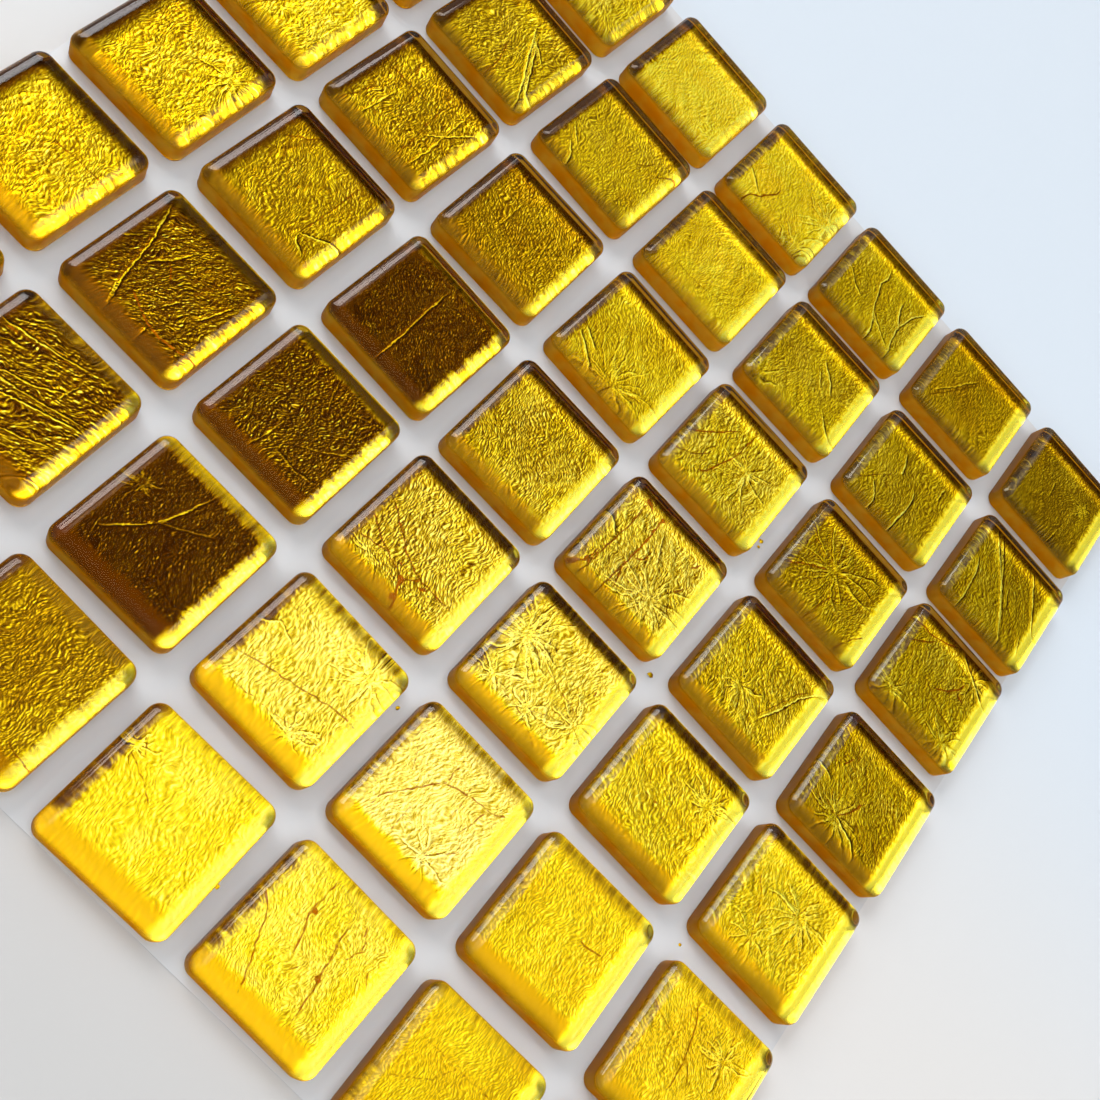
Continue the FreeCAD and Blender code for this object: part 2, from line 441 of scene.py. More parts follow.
        "tone": 0.02, "rough": 0.7, "fine": 1.3,
        "stars": [(-7.2, 3.4, 3, 12)],
        "creases": [
            (1.0, [(0, 9), (-1.2, 4.6), (-2, 2), (-3.6, -0.6), (-7, -4.4)]),
            (0.5, [(3.8, 5), (0, 2.6), (-3.4, 0.6)]), (0.4, [(-7.4, 3.4), (-7.4, 0)]),
            (0.3, [(4.6, -4.6), (6.4, -5), (8.6, -3.6)]),
        ],
    },
    "b4": {
        "tone": 0.7, "warm": -0.35, "rough": 1.0, "fine": 0.75,
        "stars": [(5.8, 6.4, 6, 18), (3.6, -5.8, 4.5, 12)],
        "patches": [(5.0, -9.0, 0.5)],
        "creases": [(0.6, [(-9, 1), (-7, 3.2), (-4, 2)])],
        "tears": [
            (0.5, [(-9.4, -3.4), (-5, -2.4), (0, -1), (6, 0.4), (9.6, 0.6)]),
            (0.3, [(-9, -6.6), (0, -5.6), (5.6, -4.6), (9, -4)]), (1.0, [(5, -8.4), (5, -9.6)]),
        ],
    },
    "b5": {
        "tone": 0.73, "warm": -0.8, "rough": 1.0, "fine": 0.85,
        "stars": [(3, -5.2, 5, 10)],
        "tears": [
            (0.55, [(2, 7), (2.2, 4.6), (-1, 3.6), (-3.4, 0.4), (-6, -3.4), (-6.4, -6.4)]),
            (0.5, [(-1, 6.6), (-1, 4)]), (0.5, [(2.2, 4.6), (5.6, 5), (8.6, 6.4)]),
            (0.55, [(5.6, 5), (5, 2), (4.4, 0)]), (0.4, [(2.4, 4.6), (2.6, 0.6)]),
            (0.4, [(3, -5.2), (3, -1)]), (0.4, [(3, -5), (6.4, -1.4)]), (0.3, [(-7, 5), (-5, 1)]),
            (0.3, [(-2.4, -0.6), (-2, -7)]),
        ],
    },
    "b6": {
        "tone": 0.63, "warm": 0.25, "rough": 0.7,
        "tears": [
            (0.6, [(2.6, 1.8), (4.4, 2), (6.2, 2.4)]), (0.3, [(-5.2, 6), (-5.4, 4)]),
            (0.3, [(-0.2, 8), (-0.2, 4)]),
        ],
    },
    "b7": {
        "tone": 0.69, "warm": 0.35, "rough": 0.8,
        "stars": [(4.6, 4.4, 5, 14)],
        "tears": [
            (0.6, [(-3, 8.6), (-1, 4), (0, 0), (0, -4)]), (0.5, [(0, 1.4), (2, -1)]),
            (0.4, [(-9, 6.4), (-7, 3.6), (-3.4, 2.4), (-2.6, -3)]), (0.4, [(4, 9), (4.6, 5), (4.2, 2)]),
            (0.4, [(2.4, 7.6), (1.6, 5)]),
        ],
    },
    "a3": {"tone": 0.35, "tears": [(0.5, [(5.4, -5.4), (9, -6.2)])]},
    "a4": {
        "tone": 0.7, "rough": 0.7, "fine": 0.8,
        "stars": [(-8, 4.6, 4, 8)],
        "tears": [
            (0.45, [(-8.6, 4), (-4.6, 2.2), (-1.6, 0.4)]), (0.4, [(-9.4, 8.6), (-8.2, 6.2), (-5.6, 4)]),
        ],
    },
    "a5": {
        "tone": 0.7, "warm": -0.1, "rough": 0.9,
        "patches": [(3.0, -0.6, 0.4), (-2.6, 4.6, 0.4), (2.2, 3.6, 0.35)],
        "tears": [
            (0.6, [(-3, 9.4), (-3, 4), (-2, 2), (-1, -0.8)]),
            (0.6, [(1.2, 7.4), (2.6, 2), (3.4, -2), (4.2, -7)]),
            (0.6, [(-9.4, 3.6), (-7, 0.8), (-4, -5), (-2.8, -8)]), (0.4, [(3.2, 8), (5, 5)]),
            (0.4, [(5, 5.4), (4, 3)]), (0.4, [(7, 4), (8, 2.6)]), (0.4, [(0.4, -1), (-0.6, -2.4)]),
        ],
    },
    "a6": {
        "tone": 0.61, "warm": 0.3, "rough": 0.6,
        "tears": [(0.3, [(1, 6), (-2, 1), (-8, -3)]), (0.25, [(-8, 4), (0, 3.8), (7, 4)])],
    },
    "b1": {"stars": [(3, 1, 7, 16)], "creases": [(0.8, [(-6, -7), (0, -3), (7, -1)])]},
    "e1": {"stars": [(-4, 3, 6, 14)], "tears": [(0.5, [(-3, -8), (0, -2), (4, 6)])]},
    "g1": {"creases": [(0.9, [(-7, 6), (-1, 1), (3, -6)])], "tears": [(0.6, [(4, 7), (2, 2)])]},
    "a1": {"stars": [(4, 4, 6, 12)], "tears": [(0.4, [(-7, -5), (0, -4), (6, -7)])]},
    "a7": {"stars": [(-3, 2, 7, 16)], "tears": [(0.5, [(7, 7), (3, 0), (4, -7)])]},
}

# Crumbs of leaf in the open joints: their place on the sheet and their size in millimetres, their corners,
# the row that carries them, and what the material reads on them
LEAF_CRUMBS = [
    (34.6, 20.0, 0.55), (34.9, 18.9, 0.35), (34.5, -10.0, 0.6), (11.5, -40.2, 0.45),
    (10.5, -71.1, 0.4), (62.7, -45.9, 0.6), (61.5, -34.9, 0.3), (33.1, -13.1, 0.5),
]
CRUMB_CORNERS = 7
CRUMB_ROW = "d"
CRUMB_FIELDS = {
    "grain": (0.3, 0.2, 4.0),
    "paint": (0.55, 1.0, 0.3),
    "lines": (NO_LINE, 0.0, 4.0),
    "tears": (NO_LINE, 0.0, 4.0),
}


def smooth_noise(x, y, seed):
    """Smooth noise from -1 to 1 over arrays of points, with features about one unit wide."""
    table = np.random.default_rng(seed).uniform(-1, 1, (NOISE_CELLS, NOISE_CELLS))
    x0 = np.floor(x).astype(int)
    y0 = np.floor(y).astype(int)
    fx = x - x0
    fy = y - y0
    fx = fx * fx * fx * (fx * (fx * 6 - 15) + 10)
    fy = fy * fy * fy * (fy * (fy * 6 - 15) + 10)
    left, right = x0 % NOISE_CELLS, (x0 + 1) % NOISE_CELLS
    below, above = y0 % NOISE_CELLS, (y0 + 1) % NOISE_CELLS
    low = table[left, below] * (1 - fx) + table[right, below] * fx
    high = table[left, above] * (1 - fx) + table[right, above] * fx
    return low * (1 - fy) + high * fy


def mesh_object(name, vertices, faces, smooth=True):
    mesh = bpy.data.meshes.new(name)
    mesh.from_pydata(vertices, [], faces)
    mesh.validate()
    obj = bpy.data.objects.new(name, mesh)
    bpy.context.scene.collection.objects.link(obj)
    if smooth:
        mesh.polygons.foreach_set("use_smooth", [True] * len(mesh.polygons))
    return obj


def chip_places(nodes):
    """For each chip of the model: its centre, its highest point, its turn about Z and half its width."""
    places = {}
    for letter in ROW_LETTERS:
        for number in range(1, CHIPS_IN_ROW + 1):
            node = f"glass_chip_{letter}{number}"
            low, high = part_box(node)
            mesh = nodes[node].data
            sides = [face for face in mesh.polygons if abs(face.normal.z) < MOST_LEAN]
            widest = max(sides, key=lambda face: face.area)
            turn = math.atan2(widest.normal.y, widest.normal.x)
            turn = (turn + math.pi / 4) % (math.pi / 2) - math.pi / 4
            centre = Vector(((low[0] + high[0]) / 2, (low[1] + high[1]) / 2, 0))
            ahead = Vector((math.cos(turn), math.sin(turn)))
            half = max((v.co - centre).xy.dot(ahead) for v in mesh.vertices)
            places[f"{letter}{number}"] = (centre, high[2], turn, half)
    return places


def rounded_loop(half, radius, steps, z):
    """Points of a rounded square about the Z axis."""
    straight = half - radius
    points = []
    for quarter in range(4):
        for step in range(steps + 1):
            angle = math.pi / 2 * (quarter + step / steps)
            turn = math.pi / 2 * quarter
            cx = straight * (math.cos(turn) - math.sin(turn))
            cy = straight * (math.sin(turn) + math.cos(turn))
            points.append((cx + radius * math.cos(angle), cy + radius * math.sin(angle), z))
    return points


def around(sides):
    """Values for the points of one loop of a chip, from one value for each side to +X, +Y, -X and -Y."""
    values = []
    for quarter in range(4):
        for step in range(CORNER_STEPS + 1):
            share = step / CORNER_STEPS
            values.append(sides[quarter] * (1 - share) + sides[(quarter + 1) % 4] * share)
    return values


def glass_chip(name, low, place):
    """A fire-polished chip: foot, upright sides, rim round and flat top, with what its material reads."""
    centre, high, turn, half = place
    loops = []
    for step in range(FOOT_STEPS + 1):
        angle = math.pi / 2 * step / FOOT_STEPS
        loops.append((FOOT_RADIUS * (1 - math.sin(angle)), low + FOOT_RADIUS * (1 - math.cos(angle))))
    for step in range(RIM_STEPS + 1):
        angle = math.pi / 2 * step / RIM_STEPS
        loops.append((RIM_WIDTH * (1 - math.cos(angle)), high - RIM_DROP * (1 - math.sin(angle))))
    vertices = []
    for inset, z in loops:
        vertices += rounded_loop(half - inset, max(CORNER_RADIUS - inset, LEAST_CORNER), CORNER_STEPS, z)
    count = 4 * (CORNER_STEPS + 1)
    faces = [list(range(count))[::-1]]
    for level in range(len(loops) - 1):
        for index in range(count):
            a = level * count + index
            b = level * count + (index + 1) % count
            faces.append([a, b, b + count, a + count])
    faces.append([len(vertices) - count + index for index in range(count)])
    obj = mesh_object(name, vertices, faces)
    # Walls, where the amber, partly lacquer and partly painted reflection of the leaf, warms the light: 1
    # below the rim, fading out over it
    rises = [WALL_AMBER_RISE * (high - z) / RIM_DROP + 1 - WALL_AMBER_RISE for inset, z in loops]
    values = {
        "wall": [max(0.0, min(1.0, rise)) for rise in rises for point in range(count)],
        "shine": around(RIM_GLOSS) * (len(loops) - 1) + [TOP_GLOSS] * count,
        # Painted shade of the walls' amber, side by side
        "deep": around(WALL_AMBER_SIDE_SHADE) * len(loops),
    }
    for key, numbers in values.items():
        obj.data.attributes.new(key, "FLOAT", "POINT").data.foreach_set("value", numbers)
    obj.data.transform(Matrix.Translation(centre) @ Matrix.Rotation(turn, 4, "Z"))
    return obj


def rounded_square_map(s, t, share):
    """Maps points of the square from -1 to 1 onto a square whose corners are round, by rings."""
    ring = np.maximum(np.abs(s), np.abs(t))
    safe = np.where(ring == 0, 1, ring)
    along = np.minimum(np.abs(s), np.abs(t)) / safe
    start = 1 - share
    angle = np.clip((along - start) / share, 0, 1) * math.pi / 4
    major = np.where(along > start, start + share * np.cos(angle), 1.0)
    minor = np.where(along > start, start + share * np.sin(angle), along)
    wide = np.abs(s) >= np.abs(t)
    x = np.where(wide, major, minor) * ring * np.sign(s)
    y = np.where(wide, minor, major) * ring * np.sign(t)
    return x, y


def wave_packets(seed, wave, patch, heading, spread):
    """Crinkle field on the fine grid: short wave packets laid at random, each turned about a heading."""
    random = np.random.default_rng(seed)
    size = int(round(2 * FINE_HALF / FINE_STEP)) + 1
    field = np.zeros((size, size))
    reach = int(math.ceil(PATCH_REACH * patch / FINE_STEP))
    offsets = np.arange(-reach, reach + 1)
    count = int((2 * FINE_HALF) ** 2 / (PATCH_SHARE * math.pi * patch * patch))
    middles = random.uniform(-FINE_HALF, FINE_HALF, (count, 2))
    turns = heading + spread * random.uniform(-math.pi / 2, math.pi / 2, count)
    phases = random.uniform(0, 2 * math.pi, count)
    for (cx, cy), turn, phase in zip(middles, turns, phases):
        i = np.round((cx + FINE_HALF) / FINE_STEP).astype(int) + offsets
        j = np.round((cy + FINE_HALF) / FINE_STEP).astype(int) + offsets
        i = i[(i >= 0) & (i < size)]
        j = j[(j >= 0) & (j < size)]
        dx = (i * FINE_STEP - FINE_HALF - cx)[:, None]
        dy = (j * FINE_STEP - FINE_HALF - cy)[None, :]
        along = dx * math.cos(turn) + dy * math.sin(turn)
        packet = np.cos(2 * math.pi * along / wave + phase)
        packet = packet * np.exp(-(dx * dx + dy * dy) / (2 * patch * patch))
        field[i[0] : i[-1] + 1, j[0] : j[-1] + 1] += packet
    return field / field.std()


def take(field, u, v):
    """Values of a fine field at points in millimetres."""
    i = np.clip((u + FINE_HALF) / FINE_STEP, 0, field.shape[0] - 1.001)
    j = np.clip((v + FINE_HALF) / FINE_STEP, 0, field.shape[1] - 1.001)
    i0 = i.astype(int)
    j0 = j.astype(int)
    fi = i - i0
    fj = j - j0
    low = field[i0, j0] * (1 - fi) + field[i0 + 1, j0] * fi
    high = field[i0, j0 + 1] * (1 - fi) + field[i0 + 1, j0 + 1] * fi
    return low * (1 - fj) + high * fj


def line_fields(u, v, lines, waver):
    """Signed distance in millimetres to the nearest of some bent lines, and how strong that line is there.

    A line is its strength and its points. It fades at its ends, and its strength is nothing 0.6 mm away.
    """
    best = np.full(u.shape, NO_LINE)
    signed = np.full(u.shape, NO_LINE)
    strength = np.zeros(u.shape)
    for number, (weight, points) in enumerate(lines):
        bent_u = u + waver * smooth_noise(u / 0.9 + 5, v / 0.9 + number, 77)
        bent_v = v + waver * smooth_noise(u / 0.9 + 15, v / 0.9 + number, 78)
        runs = [math.dist(a, b) for a, b in zip(points, points[1:])]
        gone = 0.0
        for (ax, ay), (bx, by), run in zip(points, points[1:], runs):
            share = np.clip(((bent_u - ax) * (bx - ax) + (bent_v - ay) * (by - ay)) / (run * run), 0, 1)
            du = bent_u - ax - share * (bx - ax)
            dv = bent_v - ay - share * (by - ay)
            gap = np.hypot(du, dv)
            side = np.where((bx - ax) * dv - (by - ay) * du < 0, -1.0, 1.0)
            place = (gone + share * run) / sum(runs)
            fade = weight * np.clip(np.minimum(place, 1 - place) * 6 + 0.1, 0, 1)
            nearer = gap < best
            best = np.where(nearer, gap, best)
            signed = np.where(nearer, gap * side, signed)
            strength = np.where(nearer, fade, strength)
            gone += run
    strength = strength * np.clip(1.8 - best / 0.33, 0, 1)
    return np.clip(signed, -1.5, 1.5), strength


def star_lines(marks, seed):
    """The arms of a square's stars as lines: each runs out from the pinched point, a little bent."""
    random = np.random.default_rng(seed)
    lines = []
    for x, y, reach, arms in marks.get("stars", []):
        for arm in range(arms):
            turn = 2 * math.pi * (arm + 0.35 * random.uniform(-1, 1)) / arms
            length = reach * random.uniform(0.45, 1.0)
            bend = random.uniform(-0.35, 0.35)
            start = random.choice([0.04, 0.04, 0.25])
            points = []
            for share in (start, 0.35, 0.6, 0.8, 1.0):
                angle = turn + bend * share * share + 0.04 * random.uniform(-1, 1)
                points.append((x + length * share * math.cos(angle), y + length * share * math.sin(angle)))
            lines.append((random.uniform(0.55, 1.0), points))
    return lines


def edge_light_bands(u, v, edges, base_tone):
    """A square's painted edge bands: distance from the edge, place along it, noise shift, width, tone and
    warmth.

    The left one is deep, painted shade under the rim, the near one wide and in keeping with the square, and
    the right one bright, a painted highlight where the leaf curls up. The far one, which the rim shows, is
    thin painted shade, and on the darkest squares wider and gold, a painted highlight.
    """
    right, left, far, near = edges
    dark = max(0.0, min(1.0, (0.3 - base_tone) / 0.2))
    near_tone = 0.12 + min(0.8 * base_tone, 0.21 + 0.5 * base_tone)
    return (
        (left, v, 20, 1.6, 0.14, 0.0),
        (far, u, 30, 0.35 + 0.6 * dark, 0.28 + 0.36 * dark, 0.3),
        (near, u, 40, 3.3, near_tone, 0.7),
        (right, v, 10, 1.8, 0.93, 0.0),
    )


def leaf_lines(u, v, marks, near, seed):
    """Distance to the nearest crease or star's arm and its strength, then the same for the tears."""
    arms, arms_near = line_fields(u, v, star_lines(marks, seed), ARM_WAVER)
    crease, crease_near = line_fields(u, v, marks.get("creases", []), CREASE_WAVER)
    over = crease_near > 0.5 * arms_near
    ray = np.where(over, crease, arms)
    ray_near = np.where(over, 1.5 * crease_near, arms_near) * np.clip((near - 2.0) / 1.2, 0.15, 1)
    tear, tear_near = line_fields(u, v, marks.get("tears", []), ARM_WAVER)
    return ray, ray_near, tear, tear_near


def leaf_fields(marks, seed, u, v, half):
    """Relief of one square's leaf at points in millimetres, and what its material reads there."""
    random = np.random.default_rng(seed)
    heading = marks.get("heading", random.uniform(-0.35, 0.35))
    spread = marks.get("spread", random.uniform(0.45, 0.75))
    rough = marks.get("rough", random.uniform(0.85, 1.15))
    fine = marks.get("fine", random.uniform(0.85, 1.15))
    base_tone = marks.get("tone", 0.6 + random.uniform(-0.05, 0.05))
    # Distances from the leaf's edges to +X, -X, +Y and -Y, and how freely it crinkles there
    edges = half - u, half + u, half - v, half + v
    free = np.min([edge - margin for edge, margin in zip(edges, EDGE_MARGINS)], axis=0)
    free = np.clip(free / EDGE_FADE, 0, 1)
    wrinkles = np.clip(take(wave_packets(seed, WRINKLE_WAVE, WRINKLE_PATCH, heading, spread), u, v), -2, 2)
    folds = take(wave_packets(seed + 1, FOLD_WAVE, FOLD_PATCH, heading, spread), u, v)
    relief = rough * (FOLD_HEIGHT * folds + WRINKLE_HEIGHT * wrinkles)
    tone = base_tone + 0.05 * smooth_noise(u / 6 + 3, v / 6 + 3, seed + 6)
    # Painted light and shade of the relief: crests of the wrinkles and folds lighter, their hollows darker
    tone = tone + rough * free * (0.05 * wrinkles + 0.03 * folds)
    amber = marks.get("warm", 0.0) + 0.18 * smooth_noise(u / 3.2 + 6, v / 3.2 + 1, seed + 9)
    # Bands of painted light and shade along the edges, which the rims show
    for across, along, shift, width, band_light_tone, band_amber in edge_light_bands(u, v, edges, base_tone):
        hair = smooth_noise(along / HAIR_WIDTH + shift, across / 4.0 + shift, seed + 7)
        hair = hair + 0.5 * smooth_noise(along / 1.1 + shift, across / 1.6 + 7, seed + 8)
        reach = np.clip((width - across + HAIR_REACH * hair) / BAND_SOFTNESS + 0.5, 0, 1)
        tone = tone * (1 - reach) + band_light_tone * reach
        amber = amber * (1 - reach) + band_amber * reach
        relief = relief + 0.006 * np.clip(across / 1.5, 0, 1) * np.clip(1 - across / 3.5, 0, 1) * hair
    relief = relief * (0.1 + 0.9 * free) + SWELL_HEIGHT * smooth_noise(u / 5 + 9, v / 5 + 9, seed + 2)
    relief = relief + 0.5 * CURL * np.maximum(CURL_START - edges[0], 0) ** 2
    ray, ray_near, tear, tear_near = leaf_lines(u, v, marks, edges[3], seed)
    crest = np.exp(-np.abs(ray) / 0.2) * ray_near
    torn = np.exp(-np.abs(tear) / 0.25) * tear_near
    relief = relief * (1 - 0.5 * crest) + CREASE_HEIGHT * crest - TEAR_DEPTH * torn
    for x, y, size in marks.get("patches", []):
        away = np.hypot(u - x, 1.3 * (v - y)) / size + 0.5 * smooth_noise(u / 0.5 + 4, v / 0.5, seed + 12)
        tear_near = np.maximum(tear_near, np.clip(1.6 - away, 0, 1))
        tear = tear * np.clip(away - 0.6, 0, 1)
    bent_u, bent_v = u, v
    for size, width, step in GRAIN_BENDS:
        bent_u = bent_u + size * smooth_noise(u / width, v / width, seed + step)
        bent_v = bent_v + size * smooth_noise(u / width + 9, v / width, seed + step)
    fields = dict(tone=tone, amber=amber, ray=ray, ray_near=ray_near, tear=tear, tear_near=tear_near)
    fields["across"] = fine * GRAIN_ACROSS * (bent_u * math.cos(heading) + bent_v * math.sin(heading))
    fields["along"] = fine * GRAIN_ALONG * (bent_v * math.cos(heading) - bent_u * math.sin(heading))
    fields["seed"] = np.full(u.shape, 0.37 * seed)
    fields["rough"] = rough * (0.15 + 0.85 * free)
    return relief, fields


def foil_square(key, seed, half):
    """Vertices and faces of one crinkled foil square about its centre, closed below, with its fields."""
    line = np.linspace(-1, 1, FOIL_CELLS + 1)
    s, t = np.meshgrid(line, line, indexing="ij")
    x, y = rounded_square_map(s, t, FOIL_CORNER / half)
    u = x * half / MM
    v = y * half / MM
    relief, fields = leaf_fields(TILE_MARKS.get(key, {}), seed, u, v, half / MM)
    top = np.stack([u.ravel(), v.ravel(), FOIL_LEVEL / MM + relief.ravel()], axis=1) * MM
    index = np.arange(len(top)).reshape(u.shape)
    corners = index[:-1, :-1], index[1:, :-1], index[1:, 1:], index[:-1, 1:]
    quads = np.stack([corner.ravel() for corner in corners], axis=1)
    rim = np.concatenate([index[:-1, 0], index[-1, :-1], index[:0:-1, -1], index[0, :0:-1]])
    bottom = top[rim].copy()
    bottom[:, 2] = 0
    below = len(top) + np.arange(len(rim))
    skirt = np.stack([rim, below, np.roll(below, -1), np.roll(rim, -1)], axis=1)
    faces = quads.tolist() + skirt.tolist() + [below[::-1].tolist()]
    fields = {name: np.concatenate([field.ravel(), field.ravel()[rim]]) for name, field in fields.items()}
    return np.vstack([top, bottom]), faces, fields


def leaf_crumbs(floor_z):
    """Small bent flakes of leaf that lie on the film in the open joints: vertices and triangles."""
    random = np.random.default_rng(5)
    vertices = []
    faces = []
    for x, y, size in LEAF_CRUMBS:
        base = len(vertices)
        vertices.append((x * MM, y * MM, floor_z + 0.35 * size * MM))
        for step in range(CRUMB_CORNERS):
            angle = 2 * math.pi * step / CRUMB_CORNERS
            reach = size * random.uniform(0.5, 1.0)
            height = 0.02 + 0.5 * size * random.uniform(0, 1) * (step % 2)
            across = (x + reach * math.cos(angle)) * MM
            along = (y + reach * math.sin(angle)) * MM
            vertices.append((across, along, floor_z + height * MM))
            faces.append([base, base + 1 + step, base + 1 + (step + 1) % CRUMB_CORNERS])
    return vertices, faces


def foil_row(letter, places, floor_z):
    """The seven foil squares of one row as one object, with the crumbs on the row that carries them."""
    vertices = []
    faces = []
    layers = {name: [] for name in FOIL_FIELDS}
    base = 0
    for number in range(1, CHIPS_IN_ROW + 1):
        centre, high, turn, half = places[f"{letter}{number}"]
        seed = 100 * ROW_LETTERS.index(letter) + 10 * number
        points, polygons, fields = foil_square(f"{letter}{number}", seed, half - FOIL_INSET)
        c, s = math.cos(turn), math.sin(turn)
        laid = np.empty_like(points)
        laid[:, 0] = centre.x + c * points[:, 0] - s * points[:, 1]
        laid[:, 1] = centre.y + s * points[:, 0] + c * points[:, 1]
        laid[:, 2] = floor_z + points[:, 2]
        vertices.append(laid)
        faces += [[i + base for i in polygon] for polygon in polygons]
        for name, parts in FOIL_FIELDS.items():
            layers[name].append(np.stack([fields[part] for part in parts], axis=1))
        base += len(points)
    if letter == CRUMB_ROW:
        points, triangles = leaf_crumbs(floor_z)
        vertices.append(np.array(points))
        faces += [[i + base for i in triangle] for triangle in triangles]
        for name in FOIL_FIELDS:
            layers[name].append(np.tile(CRUMB_FIELDS[name], (len(points), 1)))
    obj = mesh_object(f"crinkled_foil_{letter}", np.vstack(vertices), faces)
    for name, parts in layers.items():
        layer = obj.data.attributes.new(name, "FLOAT_VECTOR", "POINT")
        layer.data.foreach_set("vector", np.vstack(parts).astype(np.float32).ravel())
    return obj


class Nodes:
    """Short calls for building a node tree."""

    def __init__(self, tree):
        self.tree = tree
        tree.nodes.clear()

    def put(self, socket, value):
        if isinstance(value, bpy.types.NodeSocket):
            self.tree.links.new(value, socket)
        else:
            socket.default_value = value

    def add(self, kind, sockets=(), **settings):
        """A node with its settings, and its inputs by number or name."""
        node = self.tree.nodes.new("ShaderNode" + kind)
        for key, value in settings.items():
            setattr(node, key, value)
        for socket, value in dict(sockets).items():
            self.put(node.inputs[socket], value)
        return node

    def made(self, kind, sockets, **settings):
        """The first output of a new node."""
        return self.add(kind, sockets, **settings).outputs[0]

    def math(self, operation, *values, clamp=False):
        return self.made("Math", enumerate(values), operation=operation, use_clamp=clamp)

    def plus(self, first, second):
        return self.math("ADD", first, second)

    def minus(self, first, second):
        return self.math("SUBTRACT", first, second)

    def times(self, first, second):
        return self.math("MULTIPLY", first, second)

    def size(self, value):
        return self.math("ABSOLUTE", value)

    def vector(self, operation, first, second):
        return self.made("VectorMath", {0: first, 1: second}, operation=operation)

    def remap(self, value, low, high, to_low=0.0, to_high=1.0, kind="SMOOTHSTEP"):
        values = enumerate((value, low, high, to_low, to_high))
        return self.made("MapRange", values, interpolation_type=kind)

    def mix(self, share, first, second, how="MIX"):
        sockets = {"Factor": share, 6: first, 7: second}
        return self.add("Mix", sockets, data_type="RGBA", blend_type=how).outputs[2]

    def noise(self, place, scale, **values):
        """Height of a noise texture."""
        return self.made("TexNoise", {"Vector": place, "Scale": scale, **values})

    def fresnel(self, ior):
        return self.made("Fresnel", {"IOR": ior})

    def own_place(self):
        """A point's place in its object's own frame."""
        return self.add("TexCoord").outputs["Object"]

    def attribute(self, name, output="Fac"):
        return self.add("Attribute", attribute_name=name).outputs[output]

    def parts(self, vector):
        """The three numbers of a vector."""
        return self.add("SeparateXYZ", {0: vector}).outputs

    def blend(self, share, first, second):
        """Two shaders mixed."""
        return self.made("MixShader", {0: share, 1: first, 2: second})

    def finish(self, surface, kind="OutputMaterial"):
        self.add(kind, {"Surface": surface})


def new_material(name):
    material = bpy.data.materials.new(name)
    material.use_nodes = True
    return material, Nodes(material.node_tree)


def glass_material():
    """Clear fire-polished glass. Its upright walls carry a thin amber film, partly lacquer, partly painted
    reflection.
    """
    material, nodes = new_material("chip_glass")
    wall = nodes.remap(nodes.attribute("wall"), 0.0, 1.0)
    tint = nodes.mix(wall, GLASS_TINT, WALL_TINT)
    optics = {"Color": tint, "Roughness": GLASS_ROUGHNESS, "IOR": GLASS_IOR}
    clear = nodes.made("BsdfRefraction", optics)
    drift = nodes.remap(nodes.noise(nodes.own_place(), WALL_AMBER_DRIFTS_IN_METRE), 0.3, 0.7)
    amber = nodes.mix(drift, WALL_AMBER_ORANGE, WALL_AMBER_GOLD)
    # Painted shade: on the sides that the attribute deep marks, the amber turns to its shaded colour
    amber = nodes.mix(nodes.attribute("deep"), amber, WALL_AMBER_SHADED)
    # The walls' amber, partly lacquer and partly painted reflection of the leaf, lit from outside and through
    outside = nodes.made("BsdfDiffuse", {"Color": amber})
    through = nodes.made("BsdfTranslucent", {"Color": amber})
    lacquer = nodes.blend(WALL_AMBER_GLOW, outside, through)
    body = nodes.blend(nodes.times(wall, WALL_AMBER_COVER), clear, lacquer)
    shine = nodes.times(nodes.attribute("shine"), nodes.remap(wall, 0.0, 1.0, 1.0, WALL_GLOSS))
    inside = nodes.add("NewGeometry").outputs["Backfacing"]
    shine = nodes.plus(shine, nodes.times(inside, nodes.minus(INSIDE_GLOSS, shine)))
    gloss = nodes.made("BsdfGlossy", {"Roughness": GLASS_ROUGHNESS})
    nodes.finish(nodes.blend(nodes.times(nodes.fresnel(GLASS_IOR), shine), body, gloss))
    return material


def wrinkle_height(nodes, place):
    """Height of the leaf's finest wrinkles."""
    return nodes.noise(place, 1.0, Detail=1.5, Roughness=0.55)


